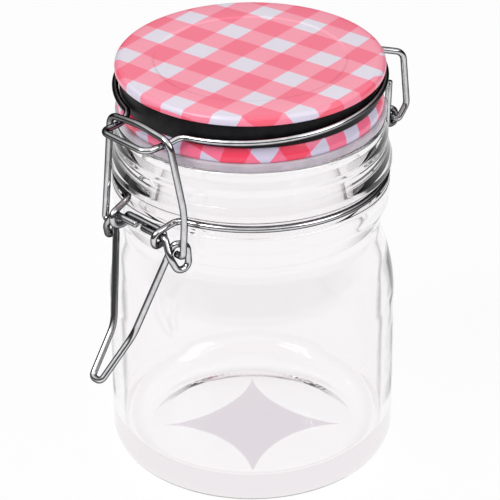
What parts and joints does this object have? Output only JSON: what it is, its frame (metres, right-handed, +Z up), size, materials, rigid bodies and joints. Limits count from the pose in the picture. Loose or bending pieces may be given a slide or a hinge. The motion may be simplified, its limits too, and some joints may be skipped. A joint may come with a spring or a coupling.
{
  "type": "glass storage jar",
  "caption": "Clear glass clip-top storage jar with a hinged gingham-printed metal lid, sealing ring and wire bail latch.",
  "frame": {"origin": "centre of the jar's foot, on the surface that it stands on", "axes": "+Z up along the jar's axis; the latch is at the front, -Y; the lid's hinge is at the back, +Y; +X is to the right of someone facing the latch"},
  "size_m": [0.095, 0.1242, 0.1432],
  "materials": {
    "clear_glass": "clear, polished",
    "wire_steel": "bright drawn wire",
    "printed_metal": "glossy gingham print",
    "black_rubber": "satin black",
    "seal_rubber": "translucent, satin"
  },
  "bodies": {
    "jar": {"glass_jar": "clear_glass", "neck_wire": "wire_steel"},
    "lid": {"lid_metal": "printed_metal", "black_ring": "black_rubber", "gasket": "seal_rubber", "lid_wire": "wire_steel"},
    "lever": {"lever": "wire_steel"},
    "bail": {"bail": "wire_steel"}
  },
  "joints": [
    {"name": "lid_hinge", "type": "hinge", "parent": "jar", "child": "lid", "pos_m": [0, 0.0483, 0.111], "axis": [-1, 0, 0], "range_deg": [0, 115]},
    {"name": "lever_pivot", "type": "hinge", "parent": "jar", "child": "lever", "pos_m": [0, -0.0494, 0.1005], "axis": [-1, 0, 0], "range_deg": [0, 120]},
    {"name": "bail_pivot", "type": "hinge", "parent": "lever", "child": "bail", "pos_m": [0, -0.04775, 0.0957], "axis": [-1, 0, 0], "range_deg": [-138, 0]}
  ],
  "couplings": [
    {"joint": "bail_pivot", "follows": "lever_pivot", "ratio": -1.15}
  ]
}
